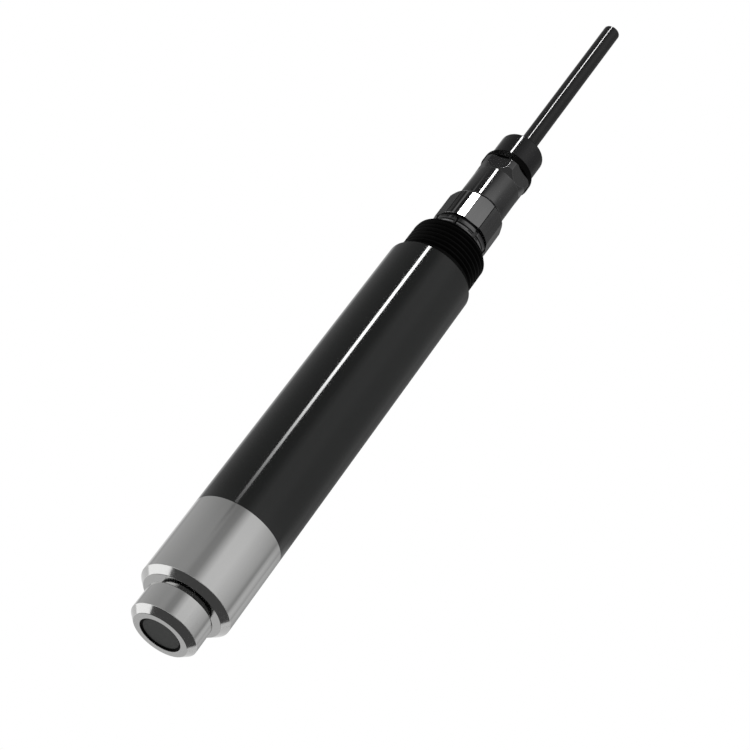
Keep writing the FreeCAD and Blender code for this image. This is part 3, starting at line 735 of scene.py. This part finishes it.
class SENSOR_OT_finishes(bpy.types.Operator):
    """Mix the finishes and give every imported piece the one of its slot"""
    bl_idname = "sensor.finishes"
    bl_label = "Finishes"

    def execute(self, context):
        colours = context.scene.sensor_colours
        for row in frame["record"]["materials"]:
            slot = row["slot"]
            if slot in OUTER_FINISHES:
                finish_of[slot] = OUTER_FINISHES[slot](slot, colours)
            elif slot != "connector_plastic":
                finish_of[slot] = INNER_FINISHES.get(slot, moulded)(slot, row["base_color"][:3])
        for finish, name, lighter, roughness, ior in COUPLING_FINISHES:
            colour = [lighter * part for part in colours.connector]
            finish_of[finish] = gloss_black(name, colour, roughness, ior)
        for node, slot in slots.items():
            mesh = nodes[node].data
            mesh.materials.clear()
            mesh.materials.append(finish_of[slot])
        return {"FINISHED"}


def placed(piece, name, body, slot, finish=None):
    """Names a finished piece, paints it and lets it ride its body."""
    piece.name = name
    piece.data.name = name
    piece.data.materials.clear()
    piece.data.materials.append(finish_of[finish or slot])
    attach(piece, body)
    return piece


def stand_in(piece, name, body, node, finish=None):
    """Places a piece that is seen in place of its node."""
    placed(piece, name, body, slots[node], finish)
    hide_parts(node)
    return piece


def drawn(corners):
    """Draws a chain of edges through these corners, in edit mode, from one point."""
    clear_selection()
    bpy.ops.mesh.primitive_plane_add(size=MM)
    piece = bpy.context.object
    bpy.ops.object.mode_set(mode="EDIT")
    bpy.ops.mesh.select_all(action="SELECT")
    bpy.ops.mesh.merge(type="CENTER")
    bpy.ops.transform.translate(value=corners[0])
    for here, there in zip(corners, corners[1:]):
        step = [end - start for start, end in zip(here, there)]
        bpy.ops.mesh.extrude_region_move(TRANSFORM_OT_translate={"value": step})
    bpy.ops.mesh.select_all(action="SELECT")
    return piece


def closed_edges(piece):
    """Joins the last drawn corner to the first."""
    mesh = bmesh.from_edit_mesh(piece.data)
    ends = [corner for corner in mesh.verts if len(corner.link_edges) == 1]
    for corner in mesh.verts:
        corner.select_set(corner in ends)
    mesh.select_flush_mode()
    bmesh.update_edit_mesh(piece.data)
    bpy.ops.mesh.edge_face_add()
    bpy.ops.mesh.select_all(action="SELECT")


def turned(outline):
    """Spins a closed outline of (radius, station) corners about the axis, as on a lathe."""
    piece = drawn([(radius, 0, station) for radius, station in outline])
    closed_edges(piece)
    bpy.ops.mesh.spin(steps=TURN_STEPS, angle=math.tau, center=(0, 0, 0), axis=(0, 0, 1))
    bpy.ops.mesh.select_all(action="SELECT")
    bpy.ops.mesh.remove_doubles(threshold=MERGE)
    bpy.ops.mesh.normals_make_consistent(inside=False)
    bpy.ops.object.mode_set(mode="OBJECT")
    return piece


def apply_modifier(piece, kind, **settings):
    pick(piece)
    bpy.ops.object.modifier_add(type=kind)
    modifier = piece.modifiers[-1]
    for name, value in settings.items():
        setattr(modifier, name, value)
    bpy.ops.object.modifier_apply(modifier=modifier.name)


def edged(piece, width, limit=30, segments=2):
    """Breaks the sharp edges and shades the rest smooth."""
    if width:
        apply_modifier(
            piece, "BEVEL", width=width, segments=segments, limit_method="ANGLE",
            angle_limit=math.radians(limit), use_clamp_overlap=True)
    pick(piece)
    bpy.ops.object.shade_smooth_by_angle(angle=math.radians(SMOOTH_ANGLE))
    apply_modifier(piece, "WEIGHTED_NORMAL", keep_sharp=True)
    return piece


def carved(piece, tool, operation):
    """Cuts or trims a piece by another, which is used up."""
    apply_modifier(piece, "BOOLEAN", object=tool, operation=operation, solver="EXACT")
    bpy.data.objects.remove(tool, do_unlink=True)
    return piece


def prism(corners, low, high):
    """A bar along Z with this outline of (x, y) corners."""
    piece = drawn([(x, y, low) for x, y in corners])
    closed_edges(piece)
    bpy.ops.mesh.edge_face_add()
    bpy.ops.mesh.extrude_region_move(TRANSFORM_OT_translate={"value": (0, 0, high - low)})
    bpy.ops.mesh.select_all(action="SELECT")
    bpy.ops.mesh.normals_make_consistent(inside=False)
    bpy.ops.object.mode_set(mode="OBJECT")
    return piece


def scaled(outline):
    """Turns (radius, station) corners from millimetres into metres."""
    return [(radius * MM, station * MM) for radius, station in outline]


def rim(outer, end, corners):
    """Corners in metres from (inset, setback) in millimetres, in from a radius and an end."""
    return [(outer - inset * MM, end - setback * MM) for inset, setback in corners]


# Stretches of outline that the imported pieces' boxes don't give, as (radius, station) in millimetres
CAP_INSIDE = ((8.7, 10.3), (8.7, 2.5), (5.8, 2.5), (5.8, 1.3))
RECESS_DEPTH = 1.3 * MM
HEAD_NECK = (
    (5, 4.7), (6.3, 4.7), (6.3, 2.7), (8.6, 2.7), (8.6, 8.4), (7.35, 8.4), (7.35, 9.9), (8.6, 9.9),
)
NECK_RADIUS = 8.6 * MM
HEAD_SPIGOT = (
    (15, 40.5), (12.4, 40.5), (12.4, 44), (10.95, 44), (10.95, 45.9), (12.4, 45.9), (12.4, 49.5),
    (10.95, 49.5), (10.95, 51.4), (12.4, 51.4), (12.4, 57), (9.6, 57), (9.6, 16), (5, 16),
)
PLUG_SPIGOT = (
    (9.4, 140), (12.4, 140), (12.4, 143.1), (10.95, 143.1), (10.95, 145), (12.4, 145),
    (12.4, 148.6), (10.95, 148.6), (10.95, 150.5), (12.4, 150.5), (12.4, 154), (12.9, 154),
    (12.9, 157.5), (13.2, 157.5),
)
PLUG_INSIDE = ((7.6, 164), (9.4, 164))
SLEEVE = (
    (5.9, 184.9), (7, 184.9), (7, 186.9), (6.3, 186.9), (6.3, 188), (7, 188), (7, 191.1),
    (8.2, 191.1), (8.45, 191.35), (8.45, 204.1), (9.3, 206.6), (9.3, 209.95), (9.05, 210.2),
    (6.8, 210.2), (6.8, 218.6), (5.5, 218.6), (5.5, 203.8), (4.6, 203.8), (4.6, 197.2), (5, 197.2),
    (5, 186), (5.9, 186),
)

# Rims, as (inset, setback) in millimetres: how far in from the outer radius, and how far from the
# end towards the nose
CAP_RIM = ((0, 0.3), (0.3, 0))
TUBE_RIM = ((0, 0.5), (0.5, 0))
PLUG_RIM = ((0, 0.8), (0.8, 0))
LOCK_RIM = (
    (0.3, 2.8), (0, 2.5), (0, 2.3), (0.6, 2.2), (0.6, 1.9), (0.05, 1.8), (0.05, 0.3), (0.3, 0),
)
NUT_FRONT = ((0.2, 0), (0, -0.1))
NUT_RIM = ((0, 2.1), (1, 0.6), (2, 0))
COLLAR_FRONT = ((0.3, 0), (0, -0.3))

# Sealant round the disc: how far in from the recess, in millimetres, and share of the disc's depth
SEALANT = ((0.8, 1), (0.15, 0.6), (0.01, 0.1), (0.01, 1))

TUBE_BORE = 12.5 * MM
SEAT_RADIUS = 13.3 * MM            # of the plug's seat in the tube
SEAT_DEPTH = 3 * MM
POCKET_RADIUS = 9.4 * MM           # of the room behind the receptacle
PASSAGE = 7.6 * MM                 # radius that clears the receptacle
NUT_LIP_RADIUS = 7.1 * MM
NUT_LIP = 2.8 * MM
THREAD_START = 1.4 * MM            # from the tube's end to the middle of the first groove
CUT_MARGIN = 0.15 * MM             # how far the cutting bar stands out past the crest
RING_BORE = 6.85 * MM              # of the rubber ring
CLAMP_BORE = 6.9 * MM
CLAMP_END = 3.4 * MM               # thickness of the clamp nut's end
CABLE_HOLE = 3.3 * MM              # radius of the hole that the cable leaves by


def round_corner(radius, station, size, steps=5):
    """A quarter round at a rim, from the side to the end face."""
    corners = []
    for number in range(steps + 1):
        turn = math.pi / 2 * number / steps
        corners.append((
            radius - size + size * math.cos(turn), station - size + size * math.sin(turn)))
    return corners


class SENSOR_OT_cap(bpy.types.Operator):
    """Turn the sensing cap"""
    bl_idname = "sensor.cap"
    bl_label = "Sensing Cap"

    def execute(self, context):
        head = context.scene.sensor_head
        outer, end = radius("sensing_cap"), rear("sensing_cap")
        chamfer = head.cap_chamfer
        piece = turned([
            (head.recess_radius, 0), (outer - chamfer, 0), (outer, chamfer),
            *rim(outer, end, CAP_RIM), *scaled(CAP_INSIDE), (head.recess_radius, RECESS_DEPTH),
        ])
        edged(piece, head.edge)
        out_of_strip(stand_in(piece, "turned_cap", "cap", "sensing_cap"))
        piece.visible_glossy = False
        disc = front("luminescent_disc")
        bead = turned([
            (head.recess_radius - inset * MM, share * disc) for inset, share in SEALANT])
        edged(bead, 0)
        placed(bead, "disc_sealant", "cap_carrier", "seal_rubber")
        return {"FINISHED"}


class SENSOR_OT_head(bpy.types.Operator):
    """Turn the stainless head with its neck and its spigot"""
    bl_idname = "sensor.head"
    bl_label = "Steel Head"

    def execute(self, context):
        head = context.scene.sensor_head
        outer, shoulder = radius("sensor_head"), rear("sensing_cap") + head.neck_gap
        chamfer = head.shoulder_chamfer
        piece = turned([
            *scaled(HEAD_NECK), (NECK_RADIUS, shoulder), (outer - chamfer, shoulder),
            (outer, shoulder + chamfer), *scaled(HEAD_SPIGOT),
        ])
        edged(piece, head.edge)
        out_of_strip(stand_in(piece, "turned_head", "probe", "sensor_head"))
        return {"FINISHED"}


class SENSOR_OT_tube(bpy.types.Operator):
    """Draw the black tube, with the seat for the rear plug"""
    bl_idname = "sensor.tube"
    bl_label = "Tube"

    def execute(self, context):
        start, end, outer = front("body_tube"), rear("body_tube"), radius("body_tube")
        piece = turned([
            (TUBE_BORE, start), (outer, start), *rim(outer, end, TUBE_RIM), (SEAT_RADIUS, end),
            (SEAT_RADIUS, end - SEAT_DEPTH), (TUBE_BORE, end - SEAT_DEPTH),
        ])
        edged(piece, width=0.12 * MM)
        stand_in(piece, "drawn_tube", "probe", "body_tube")
        return {"FINISHED"}


def thread_groove(thread, crest, start, turns):
    """The bar that cuts the thread: a trapezoid that climbs one pitch in each turn."""
    root = crest - thread.depth
    outside = crest + CUT_MARGIN
    flank = (outside - root) * math.tan(FLANK_ANGLE)
    half = thread.root_flat / 2
    bar = drawn([
        (root, 0, start - half), (outside, 0, start - half - flank),
        (outside, 0, start + half + flank), (root, 0, start + half)])
    closed_edges(bar)
    bpy.ops.object.mode_set(mode="OBJECT")
    apply_modifier(
        bar, "SCREW", axis="Z", angle=math.tau, steps=THREAD_STEPS, render_steps=THREAD_STEPS,
        iterations=turns, screw_offset=thread.pitch, use_merge_vertices=False)
    bpy.ops.object.mode_set(mode="EDIT")
    bpy.ops.mesh.select_all(action="SELECT")
    bpy.ops.mesh.remove_doubles(threshold=MERGE)
    bpy.ops.mesh.select_all(action="SELECT")
    bpy.ops.mesh.fill_holes(sides=4)
    bpy.ops.mesh.select_all(action="SELECT")
    bpy.ops.mesh.normals_make_consistent(inside=False)
    bpy.ops.object.mode_set(mode="OBJECT")
    return bar


class SENSOR_OT_plug(bpy.types.Operator):
    """Turn the rear plug and cut its thread"""
    bl_idname = "sensor.plug"
    bl_label = "Threaded Plug"

    def execute(self, context):
        thread = context.scene.sensor_thread
        crest, end = radius("rear_plug"), rear("rear_plug")
        floor = front("receptacle_gasket")
        piece = turned([
            *scaled(PLUG_SPIGOT), *rim(crest, end, PLUG_RIM), (POCKET_RADIUS, end),
            (POCKET_RADIUS, floor), (PASSAGE, floor), *scaled(PLUG_INSIDE),
        ])
        start = rear("body_tube") + THREAD_START
        turns = math.ceil((end - start) / thread.pitch)
        carved(piece, thread_groove(thread, crest, start, turns), "DIFFERENCE")
        edged(piece, 0)
        out_of_strip(stand_in(piece, "threaded_plug", "probe", "rear_plug"))
        return {"FINISHED"}


class SENSOR_OT_lock(bpy.types.Operator):
    """Turn the ring that clamps the receptacle and cut its spanner slots"""
    bl_idname = "sensor.lock"
    bl_label = "Lock Ring"

    def execute(self, context):
        sizes = context.scene.sensor_connector
        start, end = front("lock_ring"), rear("lock_ring")
        outer = radius("rear_plug") - sizes.lock_inset
        corners = rim(outer, end, LOCK_RIM)
        ring = turned([(PASSAGE, start), (corners[0][0], start), *corners, (PASSAGE, end)])
        inner, past = outer - sizes.slot_depth, outer + MM
        half = sizes.slot_width / 2
        for number in range(sizes.lock_slots):
            angle = math.tau / sizes.lock_slots * (number + 0.5)
            along, across = (math.cos(angle), math.sin(angle)), (-math.sin(angle), math.cos(angle))
            corners = [
                (reach * along[0] + side * across[0], reach * along[1] + side * across[1])
                for reach, side in ((inner, -half), (past, -half), (past, half), (inner, half))]
            carved(ring, prism(corners, start - MM, end + MM), "DIFFERENCE")
        edged(ring, width=0.06 * MM)
        out_of_strip(stand_in(ring, "slotted_ring", "probe", "lock_ring"))
        return {"FINISHED"}


# Corners of the coupling nut in one of its repeats: degrees from -Y towards +X, and how far the
# corner lies inside the nut's radius, in millimetres. The first five make a rounded corner, and
# the two that lie in are the floor of a groove.
NUT_CORNERS = (
    (-44, 0), (-40, 0), (-36, 0), (-32, 0), (-28, 0), (-14, 0), (19.8, 0), (20.2, 0.6),
    (21.1, 0.6), (21.5, 0),
)


class SENSOR_OT_nut(bpy.types.Operator):
    """Shape the coupling nut, wide flats with narrow ones between them, and its collar"""
    bl_idname = "sensor.nut"
    bl_label = "Coupling Nut"

    def execute(self, context):
        sizes = context.scene.sensor_connector
        start, end = front("coupling_nut"), rear("coupling_nut")
        crest, collar = sizes.nut_radius, sizes.nut_collar
        corners = []
        for number in range(sizes.nut_flats):
            for corner, depth in NUT_CORNERS:
                corners.append(toward(corner + 360 / sizes.nut_flats * number, crest - depth * MM))
        bar = prism(corners, start - MM, end + MM)
        envelope = turned([
            (PASSAGE, start + collar), *rim(crest, start + collar, NUT_FRONT),
            *rim(crest, end, NUT_RIM), (NUT_LIP_RADIUS, end), (NUT_LIP_RADIUS, end - NUT_LIP),
            (PASSAGE, end - NUT_LIP),
        ])
        carved(envelope, bar, "INTERSECT")
        edged(envelope, sizes.nut_edge, limit=10)
        stand_in(envelope, "faceted_nut", "nut", "coupling_nut", "nut")
        neck = crest - sizes.collar_inset
        ring = turned([
            (PASSAGE, start), *rim(neck, start, COLLAR_FRONT), (neck, start + collar),
            (PASSAGE, start + collar)])
        edged(ring, width=0.05 * MM)
        stand_in(ring, "nut_collar", "nut", "coupling_nut", "collar")
        return {"FINISHED"}


class SENSOR_OT_sleeve(bpy.types.Operator):
    """Shape the cable plug's sleeve with its six wrench flats"""
    bl_idname = "sensor.sleeve"
    bl_label = "Plug Sleeve"

    def execute(self, context):
        sizes = context.scene.sensor_connector
        sleeve = turned(scaled(SLEEVE))
        corner = sizes.wrench_flat / math.cos(math.radians(30))
        bar = prism(
            [toward(60 * number, corner) for number in range(6)],
            front("plug_shell") - MM, rear("plug_shell") + MM)
        carved(sleeve, bar, "INTERSECT")
        edged(sleeve, width=0.08 * MM, limit=14)
        stand_in(sleeve, "flatted_sleeve", "plug", "plug_shell")
        return {"FINISHED"}


class SENSOR_OT_gland(bpy.types.Operator):
    """Mould the rubber ring and turn the clamp nut that grips the cable"""
    bl_idname = "sensor.gland"
    bl_label = "Cable Gland"

    def execute(self, context):
        sizes = context.scene.sensor_connector
        start, end, outer = front("joint_ring"), rear("joint_ring"), radius("joint_ring")
        ring = turned([
            (RING_BORE, start), (outer, start), *round_corner(outer, end, sizes.ring_round),
            (RING_BORE, end)])
        edged(ring, width=0.05 * MM)
        stand_in(ring, "rubber_joint", "plug", "joint_ring")
        start, end, outer = front("clamp_nut"), rear("clamp_nut"), radius("clamp_nut")
        nut = turned([
            (CLAMP_BORE, start), (outer, start),
            *round_corner(outer, end, sizes.clamp_round, steps=7),
            (CABLE_HOLE, end), (CABLE_HOLE, end - CLAMP_END), (CLAMP_BORE, end - CLAMP_END)])
        edged(nut, width=0.08 * MM)
        stand_in(nut, "smooth_clamp", "clamp", "clamp_nut", "clamp")
        return {"FINISHED"}


class SENSOR_OT_cable(bpy.types.Operator):
    """Lay the free stretch of the cable"""
    bl_idname = "sensor.cable"
    bl_label = "Cable"

    def execute(self, context):
        start, end = front("cable"), rear("cable")
        route = [(0, 0, start + (end - start) * share) for share in (0, 1 / 3, 2 / 3, 1)]
        curve = bpy.data.curves.new("laid_cable", "CURVE")
        curve.dimensions = "3D"
        line = curve.splines.new("NURBS")
        line.points.add(len(route) - 1)
        for point, place in zip(line.points, route):
            point.co = (*place, 1)
        line.order_u = 3
        line.use_endpoint_u = True
        curve.bevel_depth = radius("cable")
        curve.bevel_resolution = JACKET_STEPS
        curve.use_fill_caps = True
        jacket = bpy.data.objects.new("laid_cable", curve)
        context.scene.collection.objects.link(jacket)
        stand_in(jacket, "laid_cable", "plug", "cable")
        return {"FINISHED"}


class SENSOR_PT_panel(bpy.types.Panel):
    """Lists the pieces of the sensor"""
    bl_label = "Sensor"
    bl_idname = "SENSOR_PT_panel"
    bl_space_type = "VIEW_3D"
    bl_region_type = "UI"
    bl_category = "Sensor"

    def draw(self, context):
        for operator in OPERATORS:
            self.layout.operator(operator.bl_idname)


GROUPS = {
    "sensor_stage": SensorStage,
    "sensor_head": SensorHead,
    "sensor_thread": SensorThread,
    "sensor_connector": SensorConnector,
    "sensor_colours": SensorColours,
}
OPERATORS = (
    SENSOR_OT_stage, SENSOR_OT_finishes, SENSOR_OT_cable, SENSOR_OT_cap, SENSOR_OT_head,
    SENSOR_OT_tube, SENSOR_OT_plug, SENSOR_OT_lock, SENSOR_OT_nut, SENSOR_OT_sleeve,
    SENSOR_OT_gland,
)


def register():
    for item in (*GROUPS.values(), *OPERATORS, SENSOR_PT_panel):
        bpy.utils.register_class(item)
    for name, group in GROUPS.items():
        setattr(bpy.types.Scene, name, PointerProperty(type=group))


def unregister():
    for name in GROUPS:
        delattr(bpy.types.Scene, name)
    for item in reversed((*GROUPS.values(), *OPERATORS, SENSOR_PT_panel)):
        bpy.utils.unregister_class(item)


def main():
    register()
    clear_selection()
    bpy.ops.sensor.stage()
    bpy.ops.sensor.finishes()
    bpy.ops.sensor.cable()
    bpy.ops.sensor.cap()
    bpy.ops.sensor.head()
    bpy.ops.sensor.tube()
    bpy.ops.sensor.plug()
    bpy.ops.sensor.lock()
    bpy.ops.sensor.nut()
    bpy.ops.sensor.sleeve()
    bpy.ops.sensor.gland()


if __name__ == "__main__":
    main()
